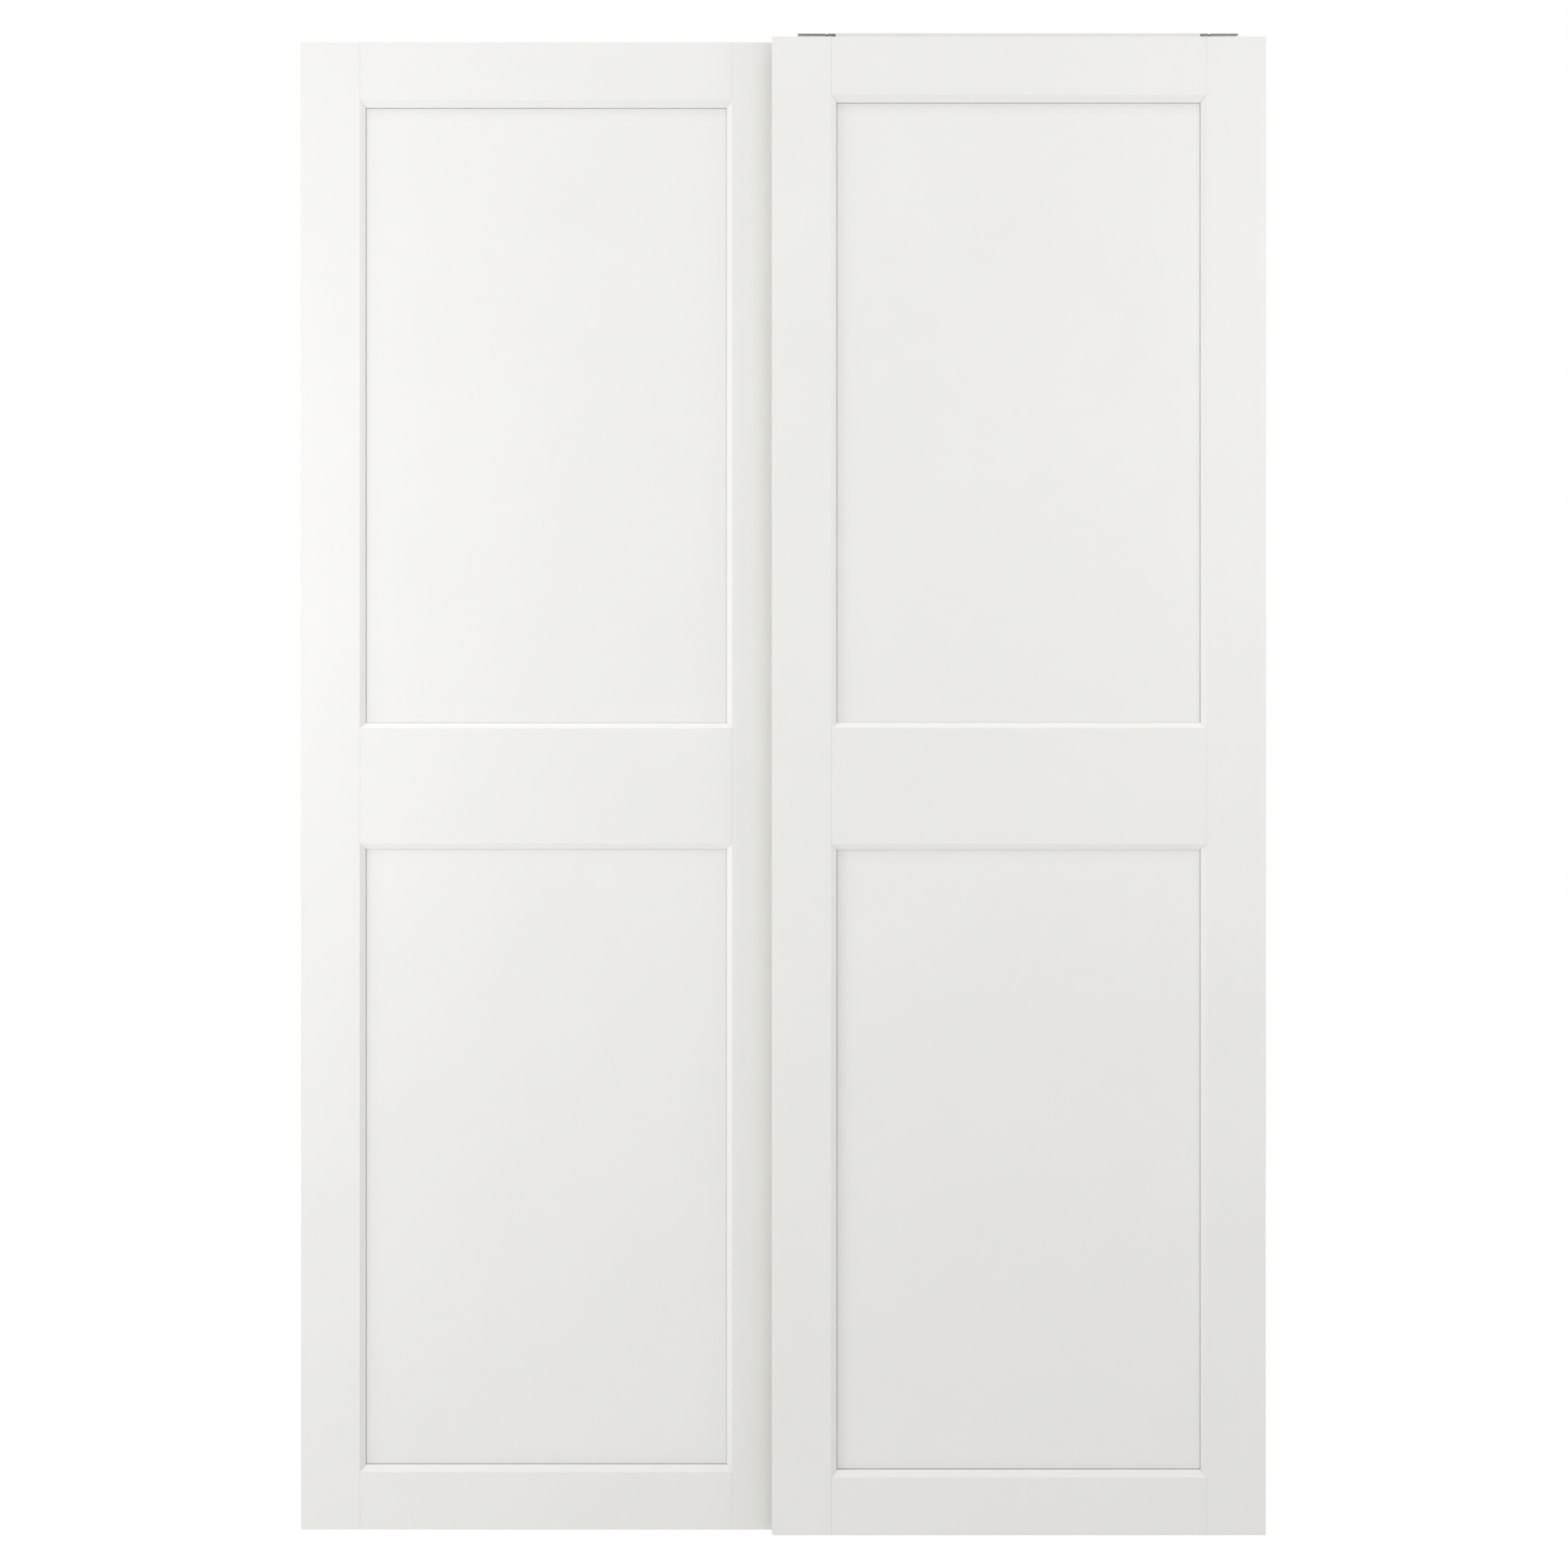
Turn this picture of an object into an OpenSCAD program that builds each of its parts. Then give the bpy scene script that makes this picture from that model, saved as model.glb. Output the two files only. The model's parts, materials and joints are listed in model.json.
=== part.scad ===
// Pair of overlapping sliding doors for a wardrobe front, closed.
// X runs along the doors, Y from the viewer to the wardrobe, Z up.
// The origin is the middle of the foot of the whole set.

/* [Leaves] */
// Width of one door leaf
leaf_w = 765; // [640:5:1000]
// Height of one door leaf
leaf_h = 2320; // [1900:10:2500]
// Thickness of a leaf frame
leaf_t = 22; // [20:0.5:26]
// How far the closed leaves overlap
overlap = 30; // [20:1:60]
// Free space between the two leaves
leaf_gap = 16; // [15.5:0.5:24]
// Free space between the rear leaf and the wardrobe front
rear_space = 22; // [18:0.5:30]

/* [Frame] */
// Flat width of a stile
stile_flat = 92; // [70:1:95]
// Flat height of the top and bottom rails
rail_h = 90; // [80:1:120]
// Flat height of the middle rail
mid_rail_h = 180; // [140:2:240]
// Width of the bevel on the stiles and the middle rail, seen from the front
bevel_w = 8.6; // [5:0.2:12]
// Width of the bevel on the top and bottom rails
rail_bevel_w = 10.8; // [6:0.2:13]
// Depth of the bevels
bevel_d = 7; // [4:0.25:8]
// Depth of the groove that holds the panels
groove_depth = 8; // [6:0.5:12]
// Clearance of the coped joints between rails and stiles
joint_gap = 0.15; // [0.1:0.05:0.3]

/* [Panels] */
// Thickness of a panel
panel_t = 8.5; // [7:0.25:10]
// How far a panel lies behind the front of the frame
panel_recess = 8.5; // [8:0.25:10]
// Thickness of the tongue round a panel
tongue_t = 5.2; // [4:0.2:6]
// Width of the shadow gap between a panel and the stiles
side_gap = 1; // [0.4:0.1:3]
// Width of the shadow gap between a panel and the top or bottom rail
end_gap = 1.6; // [0.4:0.1:3]
// Width of the shadow gap between a panel and the middle rail
mid_gap = 0.4; // [0.3:0.1:3]
// Room for a panel to swell inside its groove
panel_play = 2; // [1:0.5:4]

/* [Dowels] */
// Radius of a frame dowel
dowel_r = 4; // [3:0.5:5]
// Length of a frame dowel
dowel_l = 56; // [40:2:70]
// Height between neighbouring dowels of a joint
dowel_pitch = 40; // [30:1:46]

/* [Hangers] */
// Thickness of the hanging beam
beam_t = 2; // [1.5:0.25:2.5]
// How far a hanging beam reaches below the leaf top
beam_drop = 46; // [44:1:52]
// How far the front hanging beam rises above the leaf top
front_beam_rise = 10.4; // [9.8:0.2:11]
// How far the rear hanging beam rises above the leaf top
rear_beam_rise = 1.5; // [0:0.5:1.8]
// Thickness of a hanger arm
arm_t = 2.7; // [2:0.1:3]
// Distance from the side of a leaf to the end of its arm
arm_inset = 40.5; // [30:0.5:60]
// Width of a hanger arm
arm_w = 137; // [130:1:160]
// Height of the front arms above the leaf tops
front_arm_rise = 7; // [6.5:0.25:9]
// Height of the rear arms above the leaf tops
rear_arm_rise = 2; // [1.5:0.25:2.5]
// Distance from the end of an arm to the end of its tab
arm_ear = 53.5; // [52:0.5:60]
// Length that an arm's tab shows past the beam
tab_show = 5; // [3:0.5:8]
// Width of the bend relief in a front arm
relief_w = 3; // [2:0.5:4]

/* [Wheels] */
// Radius of a wheel
wheel_r = 11; // [10:0.5:14]
// Width of a wheel's tread
wheel_w = 9; // [8:0.5:10]
// Radius of a wheel axle
axle_r = 2.5; // [2:0.25:3]
// Running clearance of a wheel on its axle, on the radius
axle_gap = 0.05; // [0.02:0.01:0.1]
// Distance between the two wheels of a carriage
wheel_pitch = 48; // [46:1:54]
// Thickness of a carriage plate
carriage_t = 1.8; // [1.5:0.1:2.2]
// Free height between a wheel and the top of a rear carriage
head_room = 2.4; // [1.5:0.1:3]

/* [Top track] */
// Distance from the wardrobe front to the middle of the front lane
lane_in = 14; // [13:0.5:20]
// Distance between the two lanes
lane_pitch = 28; // [28:0.5:34]
// Side play of a wheel in its lane
lane_play = 1; // [0.8:0.1:1.4]
// Thickness of the track's floor
floor_t = 2.5; // [2:0.25:3.5]
// Thickness of the strips that keep the wheels in their lanes
strip_t = 2; // [1.5:0.25:2.5]
// Height of these strips above the track's floor
strip_h = 6; // [5:0.25:6.5]
// Height of the lip that hangs over the wardrobe front
lip_h = 18; // [12:1:30]
// Thickness of that lip
lip_t = 2; // [1.5:0.25:2.5]
// Width of the track behind the middle of the rear lane
track_back = 26; // [20:1:40]

/* [Bottom guides] */
// Thickness of the guide brackets
blade_t = 2.5; // [2:0.1:3]
// Free height between a leaf and the front blades under it
blade_drop = 2.3; // [2:0.1:4]
// Width of a guide bracket
bracket_w = 36; // [32:1:44]
// Distance from the wardrobe front to the front guide rib
rib_in = 26; // [24:0.5:34]
// Distance between the two guide ribs
rib_pitch = 17; // [17:0.5:22]
// Thickness of a guide rib
rib_t = 2.5; // [2:0.1:3]
// Height of a guide rib
rib_h = 7; // [5:0.25:7.5]
// Clearance between a rib and the slot of its shoe, on each side
slot_gap = 0.4; // [0.3:0.05:0.6]
// Height that a shoe travels to free its leaf
shoe_travel = 8; // [7.5:0.25:10]
// Depth of a guide shoe
shoe_d = 9; // [8.5:0.25:9.5]
// Length of a guide shoe
shoe_l = 22; // [18:1:24]
// Height of a guide housing
housing_h = 10; // [8:0.5:12]
// Sliding clearance of a shoe in its housing
shoe_gap = 0.3; // [0.2:0.05:0.4]
// Distance from the side of a leaf to the middle of its guide
guide_inset = 132; // [128:1:170]

/* [Bottom rail] */
// Thickness of the rail's base
base_t = 2; // [1.75:0.25:3]
// Thickness of the rail's back wall and fixing flange
rail_wall = 2; // [1.5:0.25:2.5]
// Width of the fixing flange behind the back wall
flange_w = 24.5; // [22:0.5:40]
// Free space between the guides and the back wall
back_room = 4.5; // [4.25:0.25:8]

/* [Fixings] */
// Radius of the fixing holes in track and rail
fix_r = 2.25; // [2:0.05:3]
// Distance between neighbouring fixing holes
fix_pitch = 288; // [160:8:320]
// Least distance from a fixing hole to the end of its track
fix_edge = 25; // [20:1:60]
// Thickness of the end caps
cap_t = 2; // [1.5:0.25:3]
// Radius of a screw shank
screw_r = 2; // [1.75:0.05:2.1]
// Length of a screw below its head
screw_l = 16; // [14:0.5:17]

/* [Hidden] */

// Finishes
white_foil = [0.93, 0.93, 0.91];
white_steel = [0.95, 0.95, 0.95];
dark_steel = [0.42, 0.42, 0.42];
zinc = [0.72, 0.73, 0.74];
alu = [0.80, 0.81, 0.82];
grey_plastic = [0.60, 0.61, 0.62];
white_plastic = [0.92, 0.92, 0.90];
black_rubber = [0.10, 0.10, 0.10];
beech = [0.80, 0.66, 0.46];

// Overcut of a hole past the face that it opens on
cut = 1;
// Overlap of solids that are joined into one piece
fuse = 0.1;
// Facets of round holes, pins and wheels
fine = 48;

// Frame section, counted from the outer edge of a leaf
stile_w = stile_flat + bevel_w;
rail_w = rail_h + rail_bevel_w;
mid_h = leaf_h / 2;
groove_play = 0.1;
groove_front = panel_recess + panel_t - tongue_t - groove_play;
groove_back = panel_recess + panel_t + groove_play;
dowel_gap = 0.05;
half_w = leaf_w / 2;

// Depths behind the front of the front leaf
rear_leaf_d = leaf_t + leaf_gap;
carcass_d = rear_leaf_d + leaf_t + rear_space;
lane_a = carcass_d + lane_in;
lane_b = lane_a + lane_pitch;
rib_a = carcass_d + rib_in;
rib_b = rib_a + rib_pitch;

// Carriage section, counted from the middle of its lane
wheel_room = 0.7;
carriage_in = wheel_w / 2 + wheel_room;
carriage_out = carriage_in + carriage_t;
ear_r = 4.3;
axle_seat_gap = 0.03;
roll_gap = 0.3;

// Heights from the top of a leaf
rear_web = rear_arm_rise - carriage_t;
axle_z = rear_web - head_room - wheel_r;
floor_z = axle_z - wheel_r - roll_gap;
seat_z = floor_z - floor_t;

// Arms and carriages, counted from the middle of a leaf
arm_out = half_w - arm_inset;
arm_in = arm_out - arm_w;
tab_out = arm_out - arm_ear;
beam_half = tab_out - tab_show;
carriage_l = wheel_pitch + 2 * wheel_r;
carriage_inset = 7;
carriage_x = arm_out - carriage_l / 2 - carriage_inset;
peg_x = 8;
peg_r = 2.5;
peg_gap = 0.05;

// Tab, gussets and flanges of an arm, a gusset as its depth and its drop
tab_drop = 42;
gusset_t = 2.5;
front_gusset = [11, 37];
rear_gusset = [22, 32];
front_flange = 7.3;
flange_ramp = 30;
arm_corner = 8;
relief_x = 7;
relief_d = 4;
tab_slot = [5, 12];
beam_end_gap = 0.3;

// Heights from the foot of a leaf
prong_l = 8.2;
prong_gap = 0.5;
head_gap = 0.3;
head_t = 3;
lift_room = 2;
flange_room = 4.5;
blade_top = -blade_drop;
blade_foot = blade_top - blade_t;
housing_top = blade_top + housing_h;
head_foot = housing_top + head_gap;
shoe_foot = blade_foot - prong_l;
base_top = shoe_foot - prong_gap;
base_foot = base_top - base_t;
rib_top = base_top + rib_h;
rear_blade = head_foot + head_t + shoe_travel + lift_room;
rail_flange = rear_blade + blade_t + flange_room;

// Guides
housing_wall = 2;
housing_end = 4;
housing_d = shoe_d + 2 * housing_wall;
housing_l = shoe_l + 2 * housing_end;
housing_peg_in = 1.8;
housing_peg_x = housing_l / 2 - housing_peg_in;
housing_peg_r = 1.2;
shelf_edge = 1.5;
blade_edge = 0.5;
window_gap = 0.5;
leg_h = 40;
bend_h = 12;
bend_r = 3;
guide_x = half_w - guide_inset;

// Rail section, its front edge behind the front of the shoes by the lead
rail_lead = 0.5;
rail_front = rib_a - shoe_d / 2 + rail_lead;
rail_back = rib_b + housing_d / 2 + shelf_edge + blade_t + back_room;
rail_end = rail_back + rail_wall + flange_w;

// Strips and ribs stand in grooves of this depth
seat_d = 1;
seat_gap = 0.05;

// Whole set
set_w = 2 * leaf_w - overlap;
track_l = set_w - 2 * cap_t;
track_end = lane_b + track_back;
set_d = max(rail_end, track_end);
foot_z = -base_foot;
leaf_x = (leaf_w - overlap) / 2;
fix_n = floor((track_l - 2 * fix_edge) / fix_pitch) + 1;
fix_d = (lane_a + lane_b) / 2;
flange_fix_d = rail_back + rail_wall + flange_w / 2;
strip_in = wheel_w / 2 + lane_play;
plug_l = 12;
plug_gap = 0.1;
// Height of strips left bare above plugs and stops
strip_show = 0.6;

// Stops, counted from the middle of the set
wheel_reach = leaf_x + carriage_x + wheel_pitch / 2 + wheel_r;
buffer_t = 4;
buffer_round = 1.4;
buffer_bow = 0.3;
buffer_edge = 0.4;
buffer_inset = 2.5;
stop_l = 21;
stop_step = 2;
stop_gap = 0.2;
stop_w = wheel_w - 2 * stop_gap;
stop_in = wheel_reach + roll_gap;
stop_top = 14;

// Screws
head_r = 4.2;
head_h = 2.6;
cross_w = 3.6;
cross_t = 0.9;
pilot_gap = 0.05;
pilot_room = 0.3;
free_gap = 0.25;
screw_rows = [-12, -32];
tab_screws = [20, 60];
beam_screws = [-140, -70, 0, 70, 140];
beam_screw_drop = 22;
beam_lip = 6;
beam_lip_inset = 12;
bracket_holes = [[-10, 30], [10, 30], [0, 14]];

// Height blocks and their screws
block_l = 40;
block_h = 12;
block_d = 10;
block_screw = 13;
block_top = -beam_drop;
notch_w = 7;
lift_r = 2.5;
lift_l = 24;
lift_point = 0.9;
lift_gap = 0.1;
hex_r = 1.4;
hex_d = 3;

// Places something of the front leaf, drawn from its own foot and middle
module at_front() {
    translate([leaf_x, -set_d / 2, foot_z]) children();
}

// Places something of the rear leaf
module at_rear() {
    translate([-leaf_x, rear_leaf_d - set_d / 2, foot_z]) children();
}

// Places something of the track and rail, with Y from the front leaf's front
module at_wall() {
    translate([0, -set_d / 2, foot_z]) children();
}

// Draws its children again on the other side of the leaf
module both_sides() {
    children();
    mirror([1, 0, 0]) children();
}

// Turns a side into a mirror: -1 is left, 1 is right
module on_side(side) {
    mirror([side < 0 ? 1 : 0, 0, 0]) children();
}

// A section drawn in Y and Z, swept along X about the middle
module sweep_x(length) {
    rotate([90, 0, 90]) linear_extrude(height = length, center = true) children();
}

// A round hole or pin along Y from y0 to y1
module rod_y(r, y0, y1) {
    translate([0, y1, 0]) rotate([90, 0, 0]) cylinder(r = r, h = y1 - y0, $fn = fine);
}

// A flat shape with rounded corners, centred
module round_rect(w, h, r) {
    square([w - 2 * r, h], center = true);
    square([w, h - 2 * r], center = true);
    for (sx = [-1, 1], sy = [-1, 1])
        translate([sx * (w / 2 - r), sy * (h / 2 - r)]) circle(r = r, $fn = 32);
}

// A slot shape upright in Y, centred
module slot_shape(w, h) {
    square([w, h - w], center = true);
    for (s = [-1, 1]) translate([0, s * (h - w) / 2]) circle(d = w, $fn = fine);
}

// Section of a stile in X and Y from the outer edge, grown by c for the cope
function stile_section(c) = [
    [-c * 10, -c * 10],
    [stile_flat + c, -c * 10],
    [stile_flat + c, 0],
    [stile_w + c, bevel_d],
    [stile_w + c, groove_front + c],
    [stile_w - groove_depth + c, groove_front + c],
    [stile_w - groove_depth + c, groove_back - c],
    [stile_w + c, groove_back - c],
    [stile_w + c, leaf_t + c * 10],
    [-c * 10, leaf_t + c * 10]
];

// Moulded edge of a rail in Y and Z, from front to back, w wide, s says up or down
function moulded_edge(z, w, s) = [
    [0, z],
    [bevel_d, z + s * w],
    [groove_front, z + s * w],
    [groove_front, z + s * (w - groove_depth)],
    [groove_back, z + s * (w - groove_depth)],
    [groove_back, z + s * w],
    [leaf_t, z + s * w]
];

function backwards(p) = [for (i = [len(p) - 1:-1:0]) p[i]];

// Dowel heights in a rail whose middle is at z, n dowels
function dowel_rows(z, n) = [for (i = [0:n - 1]) z + (i - (n - 1) / 2) * dowel_pitch];

all_dowel_rows = concat(
    dowel_rows(rail_h / 2, 2),
    dowel_rows(mid_h, 3),
    dowel_rows(leaf_h - rail_h / 2, 2)
);

// Dowels, or their holes when grown, on the right side of a leaf
module dowel_set(grow) {
    for (z = all_dowel_rows)
        translate([half_w - stile_flat, leaf_t / 2, z]) rotate([0, 90, 0])
            cylinder(r = dowel_r + grow, h = dowel_l + 4 * grow, center = true, $fn = fine);
}

module dowels() {
    color(beech) both_sides() dowel_set(0);
}

// Full height stile with bevel, panel groove and dowel holes
module stile(side) {
    color(white_foil) on_side(side) difference() {
        translate([half_w, 0, 0]) mirror([1, 0, 0])
            linear_extrude(height = leaf_h) polygon(stile_section(0));
        dowel_set(dowel_gap);
    }
}

// What the stiles take away from the end of a rail
module cope() {
    both_sides() translate([half_w, 0, -cut]) mirror([1, 0, 0])
        linear_extrude(height = leaf_h + 2 * cut) polygon(stile_section(joint_gap));
}

// Rail between the stiles, its section given as points, with coped ends
module rail(section) {
    difference() {
        sweep_x(leaf_w - 2 * (stile_flat - cut)) polygon(section);
        cope();
        both_sides() dowel_set(dowel_gap);
    }
}

// Pilot hole of a screw in the back of a leaf, its head on a seat behind it
module pilot(x, z, seat) {
    translate([x, 0, z]) rod_y(screw_r + pilot_gap, leaf_t + seat - screw_l - pilot_room, leaf_t + cut);
}

// Each screw of the beam as its x, its z and what lies under its head
function hanger_places() = concat(
    [for (x = beam_screws) [x, leaf_h - beam_screw_drop, beam_t]],
    [for (s = [-1, 1], x = tab_screws, z = screw_rows)
        [s * (arm_in + x), leaf_h + z, beam_t + arm_t]],
    [for (s = [-1, 1], t = [-1, 1])
        [s * block_x() + t * block_screw, leaf_h + block_top - block_h / 2, block_d]]
);

// Middle of a height block
function block_x() = arm_in + (tab_screws[0] + tab_screws[1]) / 2;

// The same for the guide screws, z above the foot of the leaf
function guide_places(z) =
    [for (s = [-1, 1], h = bracket_holes) [s * guide_x + h[0], h[1] + z, blade_t]];

module pilots(places) {
    for (p = places) pilot(p[0], p[1], p[2]);
}

module top_rail() {
    color(white_foil) difference() {
        rail(concat([[0, leaf_h]], moulded_edge(leaf_h - rail_h, rail_bevel_w, -1), [[leaf_t, leaf_h]]));
        pilots(hanger_places());
    }
}

module middle_rail() {
    color(white_foil) rail(concat(
        moulded_edge(mid_h - mid_rail_h / 2, bevel_w, -1),
        backwards(moulded_edge(mid_h + mid_rail_h / 2, bevel_w, 1))
    ));
}

module lower_rail(places) {
    color(white_foil) difference() {
        rail(concat([[0, 0]], moulded_edge(rail_h, rail_bevel_w, 1), [[leaf_t, 0]]));
        pilots(places);
    }
}

// Panel between two rails, z0 and z1 are the lips of its groove, gap0 and gap1 its gaps there
module panel(z0, z1, gap0, gap1) {
    field = half_w - stile_w - side_gap;
    tongue = half_w - stile_w + groove_depth - panel_play;
    reach = groove_depth - panel_play;
    color(white_foil) union() {
        translate([-field, panel_recess, z0 + gap0])
            cube([2 * field, panel_t, z1 - z0 - gap0 - gap1]);
        translate([-tongue, panel_recess + panel_t - tongue_t, z0 - reach])
            cube([2 * tongue, tongue_t, z1 - z0 + 2 * reach]);
    }
}

module upper_panel() {
    panel(mid_h + mid_rail_h / 2 + bevel_w, leaf_h - rail_w, mid_gap, end_gap);
}

module lower_panel() {
    panel(rail_w, mid_h - mid_rail_h / 2 - bevel_w, end_gap, mid_gap);
}

// Pan head screw that enters the back of a leaf, its seat at y = 0
module screw() {
    rod_y(screw_r, -screw_l, head_h / 2);
    rotate([-90, 0, 0]) rotate_extrude($fn = fine) polygon([
        [0, 0], [head_r, 0], [head_r, 0.45 * head_h], [0.83 * head_r, 0.8 * head_h],
        [0.57 * head_r, head_h], [0, head_h]
    ]);
}

module screws(places) {
    color(zinc) for (p = places) translate([p[0], leaf_t + p[2], p[1]]) difference() {
        screw();
        translate([0, head_h, 0]) for (a = [0, 90]) rotate([0, a, 0])
            cube([cross_w, head_h, cross_t], center = true);
    }
}

// Steel strip on the back of the top rail, with a stiffening lip between the arms
module hanging_beam(rise) {
    lip_half = arm_in - beam_lip_inset;
    color(white_steel) difference() {
        translate([0, leaf_t, leaf_h]) union() {
            translate([-beam_half, 0, -beam_drop]) cube([2 * beam_half, beam_t, beam_drop + rise]);
            translate([-lip_half, 0, -beam_drop]) cube([2 * lip_half, beam_t + beam_lip, beam_t]);
        }
        for (p = hanger_places()) translate([p[0], 0, p[1]])
            rod_y(screw_r + free_gap, leaf_t - cut, leaf_t + beam_t + cut);
        for (s = [-1, 1]) translate([s * block_x(), leaf_t + beam_t / 2, leaf_h - beam_drop])
            cube([notch_w, beam_t + 2 * cut, 2 * (beam_drop - tab_drop + cut)], center = true);
    }
}

// Plan of an arm's plate in X and Y, from the back of its leaf to its lane
module arm_plan(lane) {
    back = lane + carriage_out;
    y0 = leaf_t + beam_t;
    difference() {
        union() {
            translate([arm_in, y0]) square([arm_w, back - y0]);
            translate([beam_half + beam_end_gap, leaf_t])
                square([arm_out - beam_half - beam_end_gap, y0 - leaf_t + cut]);
        }
        for (x = [arm_in, arm_out]) translate([x, back]) rotate(45) square(arm_corner, center = true);
        translate([tab_out + relief_x, leaf_t - cut]) square([relief_w, relief_d + cut]);
    }
}

// Hanger arm on the right: tab on the beam, plate over to the lane, gussets between
module arm(lane, rise, gusset, flange) {
    y0 = leaf_t + beam_t;
    color(dark_steel) difference() {
        translate([0, 0, leaf_h]) union() {
            translate([0, 0, rise]) linear_extrude(height = arm_t) arm_plan(lane);
            translate([arm_in, y0, -tab_drop])
                cube([tab_out - arm_in, arm_t, tab_drop + rise + arm_t]);
            for (x = [arm_in + gusset_t / 2, tab_out - gusset_t / 2]) translate([x, y0, rise])
                sweep_x(gusset_t) polygon([
                    [0, fuse], [gusset[0], fuse], [gusset[0], 0], [arm_t, -gusset[1]], [0, -gusset[1]]
                ]);
            if (flange > 0) for (x = [arm_in + gusset_t / 2, arm_out - gusset_t / 2])
                translate([x, 0, rise + arm_t]) sweep_x(gusset_t) polygon([
                    [rear_leaf_d, -fuse], [rear_leaf_d + flange_ramp, flange], [lane, flange], [lane, -fuse]
                ]);
        }
        for (x = tab_screws, z = screw_rows)
            translate([arm_in + x, y0 - cut, leaf_h + z]) rotate([-90, 0, 0])
                linear_extrude(height = arm_t + 2 * cut) slot_shape(tab_slot[0], tab_slot[1]);
        for (s = [-1, 1]) translate([carriage_x + s * peg_x, lane, leaf_h + rise - cut])
            cylinder(r = peg_r + peg_gap, h = arm_t + 2 * cut, $fn = fine);
    }
}

// Wheel carriage on the right: an upturned channel with two pairs of ears
module carriage(lane, rise) {
    web_z = leaf_h + rise - carriage_t;
    ax_z = leaf_h + axle_z;
    color(zinc) translate([carriage_x, lane, 0]) difference() {
        union() {
            translate([-carriage_l / 2, -carriage_out, web_z])
                cube([carriage_l, 2 * carriage_out, carriage_t]);
            for (s = [-1, 1]) translate([0, s * (carriage_in + carriage_t / 2), 0])
                rotate([90, 0, 0]) linear_extrude(height = carriage_t, center = true) {
                    translate([-carriage_l / 2, ax_z]) square([carriage_l, web_z - ax_z + fuse]);
                    for (t = [-1, 1]) translate([t * wheel_pitch / 2, ax_z]) circle(r = ear_r, $fn = fine);
                }
            for (s = [-1, 1]) translate([s * peg_x, 0, web_z])
                cylinder(r = peg_r, h = carriage_t + arm_t, $fn = fine);
        }
        for (s = [-1, 1]) translate([s * wheel_pitch / 2, 0, ax_z])
            rod_y(axle_r + axle_seat_gap, -carriage_out - cut, carriage_out + cut);
    }
}

// Places something at the two axles of the right carriage
module at_axle(lane, n) {
    translate([carriage_x + (n - 1.5) * wheel_pitch, lane, leaf_h + axle_z]) children();
}

// Axles of both carriages, with a riveted head at each end
module axles(lane) {
    rivet_r = axle_r + 1.4;
    rivet_h = 1.2;
    color(zinc) both_sides() for (n = [1, 2]) at_axle(lane, n) {
        rod_y(axle_r, -carriage_out - fuse, carriage_out + fuse);
        for (s = [0, 1]) mirror([0, s, 0]) translate([0, carriage_out, 0]) rotate([-90, 0, 0])
            rotate_extrude($fn = fine) polygon([
                [0, 0], [rivet_r, 0], [0.95 * rivet_r, 0.6 * rivet_h], [axle_r, rivet_h], [0, rivet_h]
            ]);
    }
}

// Moulded wheel with hub, web and crowned rim, about Y
module wheel() {
    rim = 2.6;
    hub_gap = 0.3;
    draft = 0.3;
    round = 0.8;
    crown = 0.15;
    dish = 2.5;
    hub_r = axle_r + rim;
    hub_h = carriage_in - hub_gap;
    rim_r = wheel_r - rim;
    half = wheel_w / 2;
    web = half - dish;
    rotate([90, 0, 0]) rotate_extrude($fn = 64) polygon([
        [axle_r + axle_gap, -hub_h], [hub_r, -hub_h], [hub_r + draft, -web],
        [rim_r - draft, -web], [rim_r, -half], [wheel_r - round, -half],
        [wheel_r - crown, round - half], [wheel_r, 0], [wheel_r - crown, half - round],
        [wheel_r - round, half], [rim_r, half], [rim_r - draft, web],
        [hub_r + draft, web], [hub_r, hub_h], [axle_r + axle_gap, hub_h]
    ]);
}

// Wheels 1 to 4 from left to right
module leaf_wheel(lane, n) {
    color(white_plastic) on_side(n < 3 ? -1 : 1) at_axle(lane, n < 3 ? 3 - n : n - 2) wheel();
}

// Steel blocks under the tabs, each threaded for a height screw
module height_blocks() {
    color(zinc) both_sides() difference() {
        translate([block_x() - block_l / 2, leaf_t, leaf_h + block_top - block_h])
            cube([block_l, block_d, block_h]);
        translate([block_x(), leaf_t + beam_t + arm_t / 2, leaf_h + block_top - block_h - cut])
            cylinder(r = lift_r + pilot_gap, h = block_h + 2 * cut, $fn = fine);
        for (t = [-1, 1])
            translate([block_x() + t * block_screw, 0, leaf_h + block_top - block_h / 2])
                rod_y(screw_r + free_gap, leaf_t - cut, leaf_t + block_d + cut);
    }
}

// Height screws that bear on the lower edge of the tabs
module height_screws() {
    y = leaf_t + beam_t + arm_t / 2;
    color(zinc) both_sides() translate([block_x(), y, leaf_h - tab_drop - lift_gap]) difference() {
        mirror([0, 0, 1]) rotate_extrude($fn = fine) polygon([
            [0, 0], [lift_r - lift_point, 0], [lift_r, lift_point], [lift_r, lift_l], [0, lift_l]
        ]);
        translate([0, 0, -lift_l - cut]) cylinder(r = hex_r, h = hex_d + cut, $fn = 6);
    }
}

// Upright leg of a guide bracket on the back of a leaf, from z0 up
module bracket_leg(z0, z1) {
    translate([0, leaf_t + blade_t, (z0 + z1) / 2]) rotate([90, 0, 0])
        linear_extrude(height = blade_t) round_rect(bracket_w, z1 - z0, bend_r);
}

// Holes of a guide bracket for its screws
module bracket_screw_holes(z) {
    for (h = bracket_holes) translate([h[0], 0, h[1] + z])
        rod_y(screw_r + free_gap, leaf_t - cut, leaf_t + blade_t + cut);
}

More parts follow.
